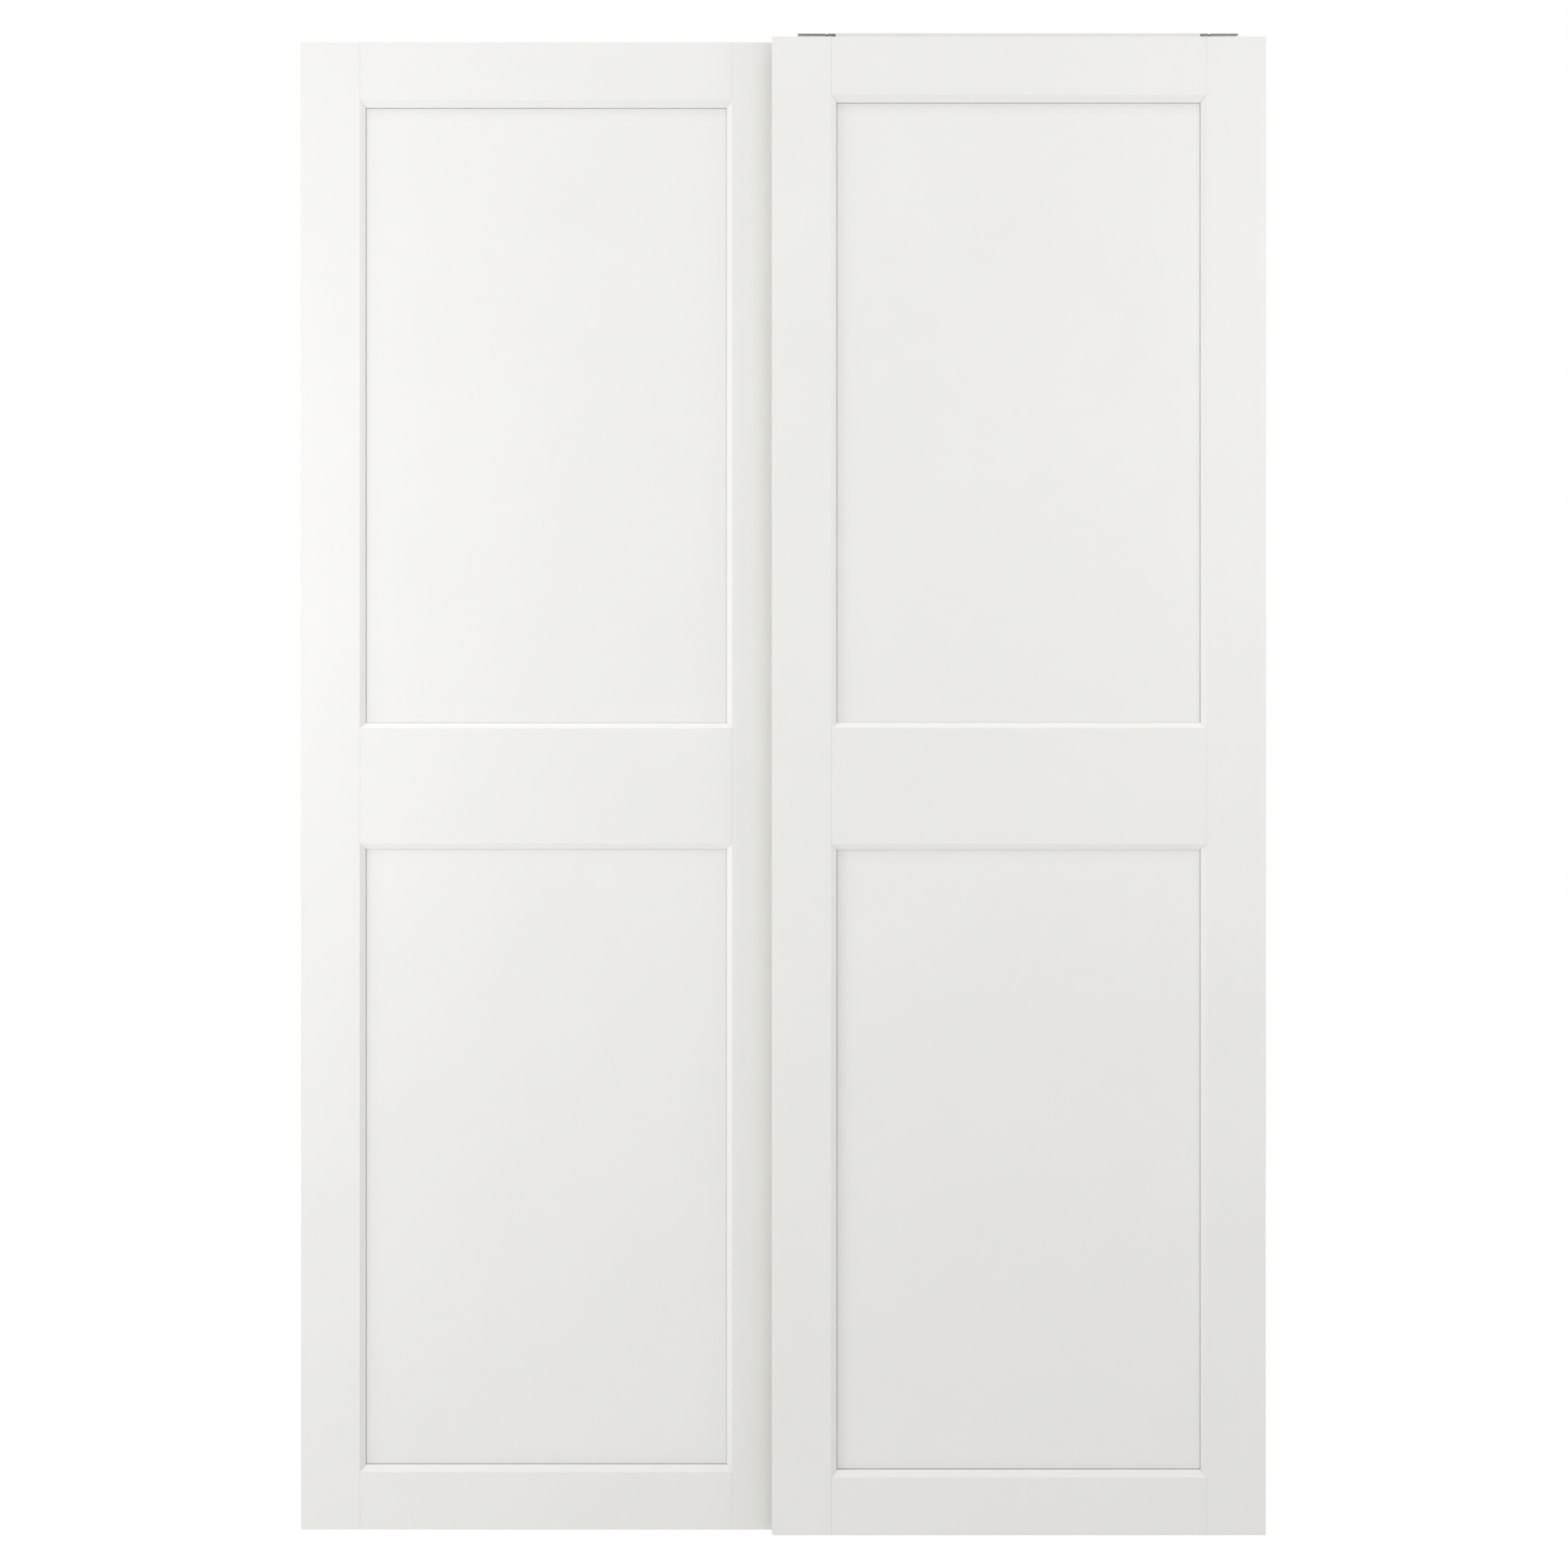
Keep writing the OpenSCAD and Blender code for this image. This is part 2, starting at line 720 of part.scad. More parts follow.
// Window for the shoe and holes for the housing pegs, at the end of a blade
module blade_cuts(rib) {
    translate([0, rib, blade_foot - cut]) {
        linear_extrude(height = blade_t + 2 * cut)
            square([shoe_l + 2 * window_gap, shoe_d + 2 * window_gap], center = true);
        for (s = [-1, 1]) translate([s * housing_peg_x, 0, 0])
            cylinder(r = housing_peg_r + peg_gap, h = blade_t + 2 * cut, $fn = fine);
    }
}

// Front brackets: a leg on the leaf and a blade that passes under the rear leaf
module low_brackets(rib) {
    end = rib + housing_d / 2 + blade_edge;
    color(dark_steel) both_sides() translate([guide_x, 0, 0]) difference() {
        union() {
            bracket_leg(blade_foot + bend_r, leg_h);
            translate([-bracket_w / 2, leaf_t, blade_foot])
                cube([bracket_w, blade_t, bend_h]);
            translate([-bracket_w / 2, leaf_t, blade_foot])
                cube([bracket_w, end - leaf_t, blade_t]);
        }
        bracket_screw_holes(0);
        blade_cuts(rib);
    }
}

// Rear brackets: a leg, a blade over the front guides and a shelf at rib height
module high_brackets(rib) {
    back = rib + housing_d / 2 + shelf_edge;
    shelf = rib - housing_d / 2 - blade_edge;
    color(dark_steel) both_sides() translate([guide_x, 0, 0]) difference() {
        union() {
            bracket_leg(rear_blade + bend_r, rear_blade + leg_h);
            translate([-bracket_w / 2, 0, 0]) {
                translate([0, leaf_t, rear_blade])
                    cube([bracket_w, blade_t, bend_h]);
                translate([0, leaf_t, rear_blade])
                    cube([bracket_w, back + blade_t - leaf_t, blade_t]);
                translate([0, back, blade_foot])
                    cube([bracket_w, blade_t, rear_blade + blade_t - blade_foot]);
                translate([0, shelf, blade_foot])
                    cube([bracket_w, back + blade_t - shelf, blade_t]);
            }
        }
        bracket_screw_holes(rear_blade);
        blade_cuts(rib);
    }
}

// Plastic housings on the blades, each a sleeve for a shoe, with two pegs
module guide_housings(rib) {
    color(grey_plastic) both_sides() translate([guide_x, rib, 0]) {
        translate([0, 0, blade_top]) linear_extrude(height = housing_h) difference() {
            round_rect(housing_l, housing_d, 1.5);
            square([shoe_l + 2 * shoe_gap, shoe_d + 2 * shoe_gap], center = true);
        }
        for (s = [-1, 1]) translate([s * housing_peg_x, 0, blade_foot])
            cylinder(r = housing_peg_r, h = blade_t + cut, $fn = fine);
    }
}

// Guide shoe on the right: a fork over its rib, with a head to lift it by
module shoe(rib) {
    slot = rib_t + 2 * slot_gap;
    chamfer = 2.4;
    color(white_plastic) translate([guide_x, rib, 0]) difference() {
        union() {
            translate([-shoe_l / 2, -shoe_d / 2, shoe_foot])
                cube([shoe_l, shoe_d, head_foot - shoe_foot + fuse]);
            translate([0, 0, head_foot]) linear_extrude(height = head_t)
                round_rect(housing_l, housing_d - 1, 2);
        }
        translate([-shoe_l / 2 - cut, -slot / 2, shoe_foot - cut])
            cube([shoe_l + 2 * cut, slot, rib_top + prong_gap - shoe_foot + cut]);
        for (s = [-1, 1]) translate([s * shoe_l / 2, 0, shoe_foot]) rotate([0, 45, 0])
            cube([chamfer, shoe_d + 2 * cut, chamfer], center = true);
    }
}

// Fixing holes in a row along X, upwards from z
module fixing_holes(y, z, t) {
    for (i = [0:fix_n - 1]) translate([(i - (fix_n - 1) / 2) * fix_pitch, y, z - cut])
        cylinder(r = fix_r, h = t + 2 * cut, $fn = fine);
}

// Middles of the four lane strips
function strip_places() =
    [for (lane = [lane_a, lane_b], s = [-1, 1]) lane + s * (strip_in + strip_t / 2)];

// Section of the top track: its lip over the wardrobe front and its grooved floor
module track_section() {
    z0 = leaf_h + seat_z;
    difference() {
        union() {
            translate([carcass_d - lip_t, z0 - lip_h]) square([lip_t, lip_h + floor_t]);
            translate([carcass_d - lip_t, z0]) square([track_end - carcass_d + lip_t, floor_t]);
        }
        for (y = strip_places()) translate([y - strip_t / 2 - seat_gap, z0 + floor_t - seat_d])
            square([strip_t + 2 * seat_gap, seat_d + cut]);
    }
}

// Aluminium top track with a row of fixing holes between the lanes
module top_track() {
    color(alu) at_wall() difference() {
        sweep_x(track_l) track_section();
        fixing_holes(fix_d, leaf_h + seat_z, floor_t);
    }
}

// Steel strips in the grooves of the track, one on each side of each lane
module lane_strips() {
    color(zinc) at_wall() for (y = strip_places())
        translate([-track_l / 2, y - strip_t / 2, leaf_h + floor_z - seat_d])
            cube([track_l, strip_t, seat_d + strip_h]);
}

// End caps of the top track, each with two plugs between the strips
module track_end_caps() {
    z0 = leaf_h + seat_z;
    plug_d = 2 * (strip_in - plug_gap);
    color(grey_plastic) at_wall() both_sides() translate([track_l / 2, 0, 0]) {
        translate([cap_t / 2, 0, 0]) sweep_x(cap_t) {
            translate([carcass_d - lip_t, z0 - lip_h]) square([lip_t, lip_h + cut]);
            translate([carcass_d - lip_t, z0])
                square([track_end - carcass_d + lip_t, floor_t + strip_h]);
        }
        for (lane = [lane_a, lane_b]) translate([-plug_l, lane - plug_d / 2, z0 + floor_t + plug_gap])
            cube([plug_l + fuse, plug_d, strip_h - strip_show]);
    }
}

// Stops at both ends of both lanes
module lane_stops() {
    base_d = 2 * (strip_in - stop_gap);
    tower_l = stop_l - 2 * stop_step;
    color(grey_plastic) at_wall() both_sides() for (lane = [lane_a, lane_b])
        translate([stop_in + buffer_t, lane, leaf_h + floor_z]) {
            translate([0, -base_d / 2, 0]) cube([stop_l, base_d, strip_h - strip_show]);
            translate([tower_l / 2, 0, 0]) rotate([90, 0, 0])
                linear_extrude(height = stop_w, center = true)
                    translate([0, stop_top / 2]) round_rect(tower_l, stop_top, stop_step);
        }
}

// Rubber faces of the stops, with a rounded nose
module stop_buffers() {
    half = stop_w / 2 - buffer_edge;
    nose = buffer_t - buffer_bow;
    color(black_rubber) at_wall() both_sides() for (lane = [lane_a, lane_b])
        translate([stop_in + buffer_t, lane, leaf_h + floor_z + buffer_inset])
            linear_extrude(height = stop_top - 2 * buffer_inset) polygon([
                [0, -half], [0, half], [-buffer_t / 2, half], [-nose, half - buffer_round],
                [-buffer_t, 0], [-nose, buffer_round - half], [-buffer_t / 2, -half]
            ]);
}

// Section of the bottom rail: grooved base, back wall and fixing flange
module rail_section() {
    difference() {
        translate([rail_front, base_foot]) square([rail_back + rail_wall - rail_front, base_t]);
        for (rib = [rib_a, rib_b]) translate([rib - rib_t / 2 - seat_gap, base_top - seat_d])
            square([rib_t + 2 * seat_gap, seat_d + cut]);
    }
    translate([rail_back, base_foot]) square([rail_wall, rail_flange + rail_wall - base_foot]);
    translate([rail_back, rail_flange]) square([rail_wall + flange_w, rail_wall]);
}

// Aluminium bottom rail with a row of fixing holes in its flange
module bottom_rail() {
    color(alu) at_wall() difference() {
        sweep_x(track_l) rail_section();
        fixing_holes(flange_fix_d, rail_flange, rail_wall);
    }
}

// Steel ribs in the grooves of the bottom rail, one for the shoes of each leaf
module guide_ribs() {
    color(zinc) at_wall() for (rib = [rib_a, rib_b])
        translate([-track_l / 2, rib - rib_t / 2, base_top - seat_d])
            cube([track_l, rib_t, seat_d + rib_h]);
}

// End caps of the bottom rail, each with a plug between rib and back wall
module rail_end_caps() {
    y0 = rib_b + rib_t / 2 + plug_gap;
    color(grey_plastic) at_wall() both_sides() translate([track_l / 2, 0, 0]) {
        translate([cap_t / 2, 0, 0]) sweep_x(cap_t) {
            translate([rail_front, base_foot]) square([rail_back + rail_wall - rail_front, base_t + rib_h]);
            translate([rail_back, base_foot]) square([rail_wall, rail_flange + rail_wall - base_foot]);
            translate([rail_back, rail_flange]) square([rail_wall + flange_w, rail_wall]);
        }
        translate([-plug_l, y0, base_top + plug_gap])
            cube([plug_l + fuse, rail_back - plug_gap - y0, rib_h - cap_t]);
    }
}

module front_left_stile() { at_front() stile(-1); }
module front_right_stile() { at_front() stile(1); }
module front_top_rail() { at_front() top_rail(); }
module front_middle_rail() { at_front() middle_rail(); }
module front_bottom_rail() { at_front() lower_rail(guide_places(0)); }
module front_upper_panel() { at_front() upper_panel(); }
module front_lower_panel() { at_front() lower_panel(); }
module front_dowels() { at_front() dowels(); }
module front_hanging_beam() { at_front() hanging_beam(front_beam_rise); }
module front_left_arm() { at_front() on_side(-1) front_arm(); }
module front_right_arm() { at_front() on_side(1) front_arm(); }
module front_arm() { arm(lane_b, front_arm_rise, front_gusset, front_flange); }
module front_left_carriage() { at_front() on_side(-1) carriage(lane_b, front_arm_rise); }
module front_right_carriage() { at_front() on_side(1) carriage(lane_b, front_arm_rise); }
module front_axles() { at_front() axles(lane_b); }
module front_hanger_screws() { at_front() screws(hanger_places()); }
module front_height_blocks() { at_front() height_blocks(); }
module front_height_screws() { at_front() height_screws(); }
module front_guide_brackets() { at_front() low_brackets(rib_a); }
module front_guide_housings() { at_front() guide_housings(rib_a); }
module front_guide_screws() { at_front() screws(guide_places(0)); }
module front_left_shoe() { at_front() on_side(-1) shoe(rib_a); }
module front_right_shoe() { at_front() on_side(1) shoe(rib_a); }
module front_wheel(n) { at_front() leaf_wheel(lane_b, n); }

// Lane and rib of the rear leaf, counted from its own front
rear_lane = lane_a - rear_leaf_d;
rear_rib = rib_b - rear_leaf_d;

module rear_left_stile() { at_rear() stile(-1); }
module rear_right_stile() { at_rear() stile(1); }
module rear_top_rail() { at_rear() top_rail(); }
module rear_middle_rail() { at_rear() middle_rail(); }
module rear_bottom_rail() { at_rear() lower_rail(guide_places(rear_blade)); }
module rear_upper_panel() { at_rear() upper_panel(); }
module rear_lower_panel() { at_rear() lower_panel(); }
module rear_dowels() { at_rear() dowels(); }
module rear_hanging_beam() { at_rear() hanging_beam(rear_beam_rise); }
module rear_left_arm() { at_rear() on_side(-1) rear_arm(); }
module rear_right_arm() { at_rear() on_side(1) rear_arm(); }
module rear_arm() { arm(rear_lane, rear_arm_rise, rear_gusset, 0); }
module rear_left_carriage() { at_rear() on_side(-1) carriage(rear_lane, rear_arm_rise); }
module rear_right_carriage() { at_rear() on_side(1) carriage(rear_lane, rear_arm_rise); }
module rear_axles() { at_rear() axles(rear_lane); }
module rear_hanger_screws() { at_rear() screws(hanger_places()); }
module rear_height_blocks() { at_rear() height_blocks(); }
module rear_height_screws() { at_rear() height_screws(); }
module rear_guide_brackets() { at_rear() high_brackets(rear_rib); }
module rear_guide_housings() { at_rear() guide_housings(rear_rib); }
module rear_guide_screws() { at_rear() screws(guide_places(rear_blade)); }
module rear_left_shoe() { at_rear() on_side(-1) shoe(rear_rib); }
module rear_right_shoe() { at_rear() on_side(1) shoe(rear_rib); }
module rear_wheel(n) { at_rear() leaf_wheel(rear_lane, n); }

front_left_stile();
front_right_stile();
front_top_rail();
front_middle_rail();
front_bottom_rail();
front_upper_panel();
front_lower_panel();
front_dowels();
front_hanging_beam();
front_left_arm();
front_right_arm();
front_left_carriage();
front_right_carriage();
front_axles();
front_hanger_screws();
front_height_blocks();
front_height_screws();
front_guide_brackets();
front_guide_housings();
front_guide_screws();
front_left_shoe();
front_right_shoe();
front_wheel(1);  // front_wheel_1
front_wheel(2);  // front_wheel_2
front_wheel(3);  // front_wheel_3
front_wheel(4);  // front_wheel_4
rear_left_stile();
rear_right_stile();
rear_top_rail();
rear_middle_rail();
rear_bottom_rail();
rear_upper_panel();
rear_lower_panel();
rear_dowels();
rear_hanging_beam();
rear_left_arm();
rear_right_arm();
rear_left_carriage();
rear_right_carriage();
rear_axles();
rear_hanger_screws();
rear_height_blocks();
rear_height_screws();
rear_guide_brackets();
rear_guide_housings();
rear_guide_screws();
rear_left_shoe();
rear_right_shoe();
rear_wheel(1);  // rear_wheel_1
rear_wheel(2);  // rear_wheel_2
rear_wheel(3);  // rear_wheel_3
rear_wheel(4);  // rear_wheel_4
top_track();
lane_strips();
track_end_caps();
lane_stops();
stop_buffers();
bottom_rail();
guide_ribs();
rail_end_caps();
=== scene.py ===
import json
import math

import bmesh
import bpy
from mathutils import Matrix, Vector

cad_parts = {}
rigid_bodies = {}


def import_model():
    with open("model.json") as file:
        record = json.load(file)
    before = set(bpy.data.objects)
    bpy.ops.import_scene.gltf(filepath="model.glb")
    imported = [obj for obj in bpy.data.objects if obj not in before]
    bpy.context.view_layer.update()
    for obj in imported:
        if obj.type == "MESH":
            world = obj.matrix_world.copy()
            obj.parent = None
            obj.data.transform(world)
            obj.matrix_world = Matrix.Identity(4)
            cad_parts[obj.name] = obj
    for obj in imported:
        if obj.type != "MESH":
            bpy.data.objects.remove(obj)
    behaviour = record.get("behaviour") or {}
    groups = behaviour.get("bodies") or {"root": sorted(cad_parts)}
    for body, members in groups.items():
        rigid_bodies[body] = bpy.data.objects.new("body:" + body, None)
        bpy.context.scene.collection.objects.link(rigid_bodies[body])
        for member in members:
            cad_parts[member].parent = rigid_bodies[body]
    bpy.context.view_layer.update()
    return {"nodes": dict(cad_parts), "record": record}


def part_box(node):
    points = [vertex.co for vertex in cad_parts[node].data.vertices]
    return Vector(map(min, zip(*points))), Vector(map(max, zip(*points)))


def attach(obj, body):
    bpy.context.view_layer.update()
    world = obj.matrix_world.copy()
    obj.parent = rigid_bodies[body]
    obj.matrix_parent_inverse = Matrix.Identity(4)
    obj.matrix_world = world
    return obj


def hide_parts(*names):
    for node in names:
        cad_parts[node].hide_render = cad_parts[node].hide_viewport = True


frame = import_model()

MM = 0.001

# Camera: straight on to the middle of the pair, with the photograph's small framing offset
PHOTO = 1860
AXIS_PX = (927.0, 932.5)
LENS = 72.56
SENSOR = 36.0
VIEW_DISTANCE = 4.891


def deselect():
    """Clears the selection, because operators act on all that is selected."""
    for o in bpy.context.view_layer.objects:
        o.select_set(False)


# Materials

# Colour sockets of a mix node
MIX_A, MIX_B, MIX_RESULT = 6, 7, 2


def shader_of(tree):
    """The principled shader of a node tree."""
    return next(n for n in tree.nodes if n.type == "BSDF_PRINCIPLED")


def material(name):
    """A new principled material, its node tree and its shader."""
    mat = bpy.data.materials.new(name)
    mat.use_nodes = True
    return mat, mat.node_tree, shader_of(mat.node_tree)


def add(tree, kind, **values):
    """A node with its input sockets set by name."""
    node = tree.nodes.new(kind)
    for key, value in values.items():
        node.inputs[key].default_value = value
    return node


def mapped(tree, scale=(1, 1, 1)):
    """Object coordinates, stretched by scale."""
    coord = tree.nodes.new("ShaderNodeTexCoord")
    mapping = tree.nodes.new("ShaderNodeMapping")
    mapping.inputs["Scale"].default_value = scale
    tree.links.new(coord.outputs["Object"], mapping.inputs["Vector"])
    return mapping.outputs["Vector"]


def noise(tree, vector, scale, detail=2.0, rough=0.5):
    """A noise value between 0 and 1, scale in lumps a metre."""
    node = tree.nodes.new("ShaderNodeTexNoise")
    node.inputs["Scale"].default_value = scale
    node.inputs["Detail"].default_value = detail
    node.inputs["Roughness"].default_value = rough
    tree.links.new(vector, node.inputs["Vector"])
    return node.outputs["Fac"]


def spread(tree, value, low, high, start=0.3, end=0.7):
    """A value from start to end spread over low to high."""
    node = tree.nodes.new("ShaderNodeMapRange")
    node.inputs["From Min"].default_value = start
    node.inputs["From Max"].default_value = end
    node.inputs["To Min"].default_value = low
    node.inputs["To Max"].default_value = high
    tree.links.new(value, node.inputs["Value"])
    return node.outputs["Result"]


def two_tones(tree, value, dark, light):
    """A colour between two tones by a value."""
    node = tree.nodes.new("ShaderNodeMix")
    node.data_type = "RGBA"
    node.inputs[MIX_A].default_value = (*dark, 1)
    node.inputs[MIX_B].default_value = (*light, 1)
    tree.links.new(value, node.inputs[0])
    return node.outputs[MIX_RESULT]


def bump(tree, height, depth, under=None):
    """A bump of a real depth in metres, over another if given."""
    node = tree.nodes.new("ShaderNodeBump")
    node.inputs["Strength"].default_value = 1.0
    node.inputs["Distance"].default_value = depth
    tree.links.new(height, node.inputs["Height"])
    if under is not None:
        tree.links.new(under, node.inputs["Normal"])
    return node.outputs["Normal"]


def tint(tree, tone, share):
    """Mixes a tone into the colour of a tree's shader by a share."""
    colour = shader_of(tree).inputs["Base Color"]
    mix = tree.nodes.new("ShaderNodeMix")
    mix.data_type = "RGBA"
    mix.inputs[MIX_B].default_value = (*tone, 1)
    tree.links.new(share, mix.inputs[0])
    tree.links.new(colour.links[0].from_socket, mix.inputs[MIX_A])
    tree.links.new(mix.outputs[MIX_RESULT], colour)


def faded(tone, factor):
    """A tone with each of its colours times a factor."""
    return tuple(c * factor for c in tone)


def white_foil(name, rough):
    """Satin white foil over fibreboard: a faint peel, a fine grain and soft mottling."""
    mat, tree, shader = material(name)
    flat = mapped(tree)
    mottle = noise(tree, flat, 6.0, 3.0)
    grain = noise(tree, flat, 1500.0, 2.0)
    tone = two_tones(tree, spread(tree, mottle, 0, 1), faded(FOIL_TONE, MOTTLE), FOIL_TONE)
    tree.links.new(tone, shader.inputs["Base Color"])
    tree.links.new(spread(tree, grain, rough - 0.04, rough + 0.04), shader.inputs["Roughness"])
    peel = bump(tree, noise(tree, flat, 320.0, 1.0), 0.00004)
    tree.links.new(bump(tree, grain, 0.00001, peel), shader.inputs["Normal"])
    shader.inputs["Specular IOR Level"].default_value = 0.4
    return mat


def calc(tree, operation, first, second=0.0):
    """One step of arithmetic on sockets or numbers."""
    node = tree.nodes.new("ShaderNodeMath")
    node.operation = operation
    for socket, value in zip(node.inputs, (first, second)):
        if isinstance(value, float):
            socket.default_value = value
        else:
            tree.links.new(value, socket)
    return node.outputs[0]


def place_of(tree):
    """The X, Y and Z of a point on a piece."""
    place = tree.nodes.new("ShaderNodeSeparateXYZ")
    tree.links.new(mapped(tree), place.inputs[0])
    return place.outputs


def panel_foil_painted_shade(node, left, foot, head):
    """White foil for one panel, a little darker where it meets the frame, which is painted shade.
    """
    mat = white_foil(node + " foil", PANEL_ROUGH)
    tree = mat.node_tree
    low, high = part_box(node)
    x, _, z = place_of(tree)
    inset = REACH * MM
    sides = (
        (left, calc(tree, "SUBTRACT", x, low.x + inset)),
        (foot, calc(tree, "SUBTRACT", z, low.z + inset)),
        (head, calc(tree, "SUBTRACT", high.z - inset, z)),
    )
    # Painted shade: the foil darkens towards black near the frame at the left, foot and head
    share = 0.0
    for strength, distance in sides:
        near = calc(tree, "POWER", spread(tree, distance, 1.0, 0.0, 0.0, PAINTED_SHADE_WIDTH * MM), 2.0)
        share = calc(tree, "ADD", calc(tree, "MULTIPLY", near, strength), share)
    tint(tree, PAINTED_SHADE_BLACK, share)
    return mat


def rail_foil_painted_light_and_shade(node, bevel_low, bevel_high):
    """White foil for one rail, with painted shade along the joint where it butts against its
    stiles.

    The painted shade runs up and down the face and along the mitres of the rail's bevels. A rail
    with two bevels is a middle rail, whose bevels carry painted light that makes them a little
    lighter.
    """
    mat = white_foil(node + " foil", FOIL_ROUGH)
    tree = mat.node_tree
    low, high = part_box(node)
    x, _, z = place_of(tree)
    aside = calc(tree, "ABSOLUTE", calc(tree, "SUBTRACT", x, (low.x + high.x) / 2))
    below = calc(tree, "SUBTRACT", low.z + bevel_low * MM, z)
    above = calc(tree, "SUBTRACT", z, high.z - bevel_high * MM)
    on_bevel = calc(tree, "MAXIMUM", calc(tree, "MAXIMUM", below, above), 0.0)
    # Painted light: a middle rail's bevels are tinted a little lighter than its face
    if bevel_low and bevel_high:
        tint(tree, faded(FOIL_TONE, PAINTED_BEVEL_LIGHT),
             calc(tree, "GREATER_THAN", on_bevel, PAINTED_BEVEL_LIGHT_START * MM))
    # Painted shade: a dark line along the joint with each stile, up the face and along the
    # bevels' mitres
    mitre = calc(tree, "MULTIPLY", on_bevel, STILE_BEVEL / max(bevel_low, bevel_high))
    inside = calc(tree, "SUBTRACT", (high.x - low.x) / 2, calc(tree, "ADD", aside, mitre))
    tint(tree, faded(FOIL_TONE, PAINTED_SEAM_SHADE), spread(tree, inside, 1.0, 0.0, 0.0, PAINTED_SEAM_WIDTH * MM))
    return mat


def sheet_steel(name, dark, light, rough):
    """Sheet steel with a cloudy plating and a fine rolled grain along X."""
    mat, tree, shader = material(name)
    cloud = noise(tree, mapped(tree), 90.0, 4.0)
    lines = noise(tree, mapped(tree, (0.06, 1, 1)), 2600.0, 2.0)
    tone = two_tones(tree, spread(tree, cloud, 0, 1), dark, light)
    tree.links.new(tone, shader.inputs["Base Color"])
    tree.links.new(spread(tree, cloud, rough + 0.06, rough - 0.06), shader.inputs["Roughness"])
    tree.links.new(bump(tree, lines, 0.000012), shader.inputs["Normal"])
    shader.inputs["Metallic"].default_value = 1.0
    return mat


def arm_steel(name):
    """Dark passivated sheet on its upper side and edges, with painted light on the faces turned
    down to the leaf, which are pale and not metallic.
    """
    mat = sheet_steel(name, (0.14, 0.14, 0.145), (0.18, 0.18, 0.185), 0.42)
    tree = mat.node_tree
    facing = tree.nodes.new("ShaderNodeSeparateXYZ")
    tree.links.new(tree.nodes.new("ShaderNodeNewGeometry").outputs["Normal"], facing.inputs[0])
    # Painted light: faces turned down get a pale, non-metallic tone
    downward = spread(tree, facing.outputs["Z"], 1.0, 0.0, *DOWNWARD)
    tint(tree, PAINTED_UNDERSIDE_LIGHT, downward)
    metal = spread(tree, downward, 1.0, 0.0, 0.0, 1.0)
    tree.links.new(metal, shader_of(tree).inputs["Metallic"])
    return mat


def powder_coat(name):
    """White powder coat on steel, with its fine texture."""
    mat, tree, shader = material(name)
    flat = mapped(tree)
    fine = noise(tree, flat, 1100.0, 2.0)
    cloud = spread(tree, noise(tree, flat, 25.0), 0, 1)
    tone = two_tones(tree, cloud, (0.84, 0.85, 0.85), (0.88, 0.88, 0.88))
    tree.links.new(tone, shader.inputs["Base Color"])
    tree.links.new(spread(tree, fine, 0.34, 0.46), shader.inputs["Roughness"])
    tree.links.new(bump(tree, fine, 0.00002), shader.inputs["Normal"])
    return mat


def extrusion(name):
    """Clear anodised aluminium with die lines along X."""
    mat, tree, shader = material(name)
    lines = noise(tree, mapped(tree, (0.004, 1, 1)), 1800.0, 3.0)
    tone = two_tones(tree, spread(tree, lines, 0, 1), (0.46, 0.47, 0.48), (0.54, 0.55, 0.56))
    tree.links.new(tone, shader.inputs["Base Color"])
    tree.links.new(spread(tree, lines, 0.40, 0.30), shader.inputs["Roughness"])
    tree.links.new(bump(tree, lines, 0.00001), shader.inputs["Normal"])
    shader.inputs["Metallic"].default_value = 1.0
    return mat


def moulded(name, dark, light, rough):
    """Moulded plastic with a fine eroded texture."""
    mat, tree, shader = material(name)
    flat = mapped(tree)
    fine = noise(tree, flat, 1900.0, 2.0)
    tone = two_tones(tree, spread(tree, noise(tree, flat, 60.0, 3.0), 0, 1), dark, light)
    tree.links.new(tone, shader.inputs["Base Color"])
    tree.links.new(spread(tree, fine, rough - 0.06, rough + 0.06), shader.inputs["Roughness"])
    tree.links.new(bump(tree, fine, 0.00002), shader.inputs["Normal"])
    return mat


def beech_wood(name):
    """Bare beech with its grain and short flecks along X."""
    mat, tree, shader = material(name)
    grain = noise(tree, mapped(tree, (0.08, 1, 1)), 700.0, 4.0, 0.6)
    fleck = noise(tree, mapped(tree, (0.2, 1, 1)), 2400.0, 1.0)
    tone = two_tones(tree, spread(tree, grain, 0, 1), (0.55, 0.36, 0.20), (0.72, 0.52, 0.32))
    tree.links.new(tone, shader.inputs["Base Color"])
    tree.links.new(bump(tree, fleck, 0.00003), shader.inputs["Normal"])
    shader.inputs["Roughness"].default_value = 0.6
    return mat


# Black, mixed into a panel's foil as painted shade
PAINTED_SHADE_BLACK = (0.0, 0.0, 0.0)
FOIL_TONE = (0.864, 0.862, 0.832)
# Darkest tone of the foil's mottling against its own
MOTTLE = 0.985
FOIL_ROUGH = 0.42
PANEL_ROUGH = 0.45
# Width in millimetres of the painted shade along a rail's joint, and its tone against the foil's
PAINTED_SEAM_WIDTH = 1.0
PAINTED_SEAM_SHADE = 0.76
# Painted light on a middle rail's bevels: its tone against the foil's, and how many
# millimetres from the face it starts
PAINTED_BEVEL_LIGHT = 1.075
PAINTED_BEVEL_LIGHT_START = 0.2
# Width in millimetres of a panel's painted shade along the frame, and its strength at the left,
# foot and head
PAINTED_SHADE_WIDTH = 26.0
PAINTED_SHADE_BORDERS = {
    "front_upper": (0.05, 0.0, 0.13),
    "front_lower": (0.10, 0.05, 0.04),
    "rear_upper": (0.0, 0.0, 0.09),
    "rear_lower": (0.03, 0.05, 0.02),
}
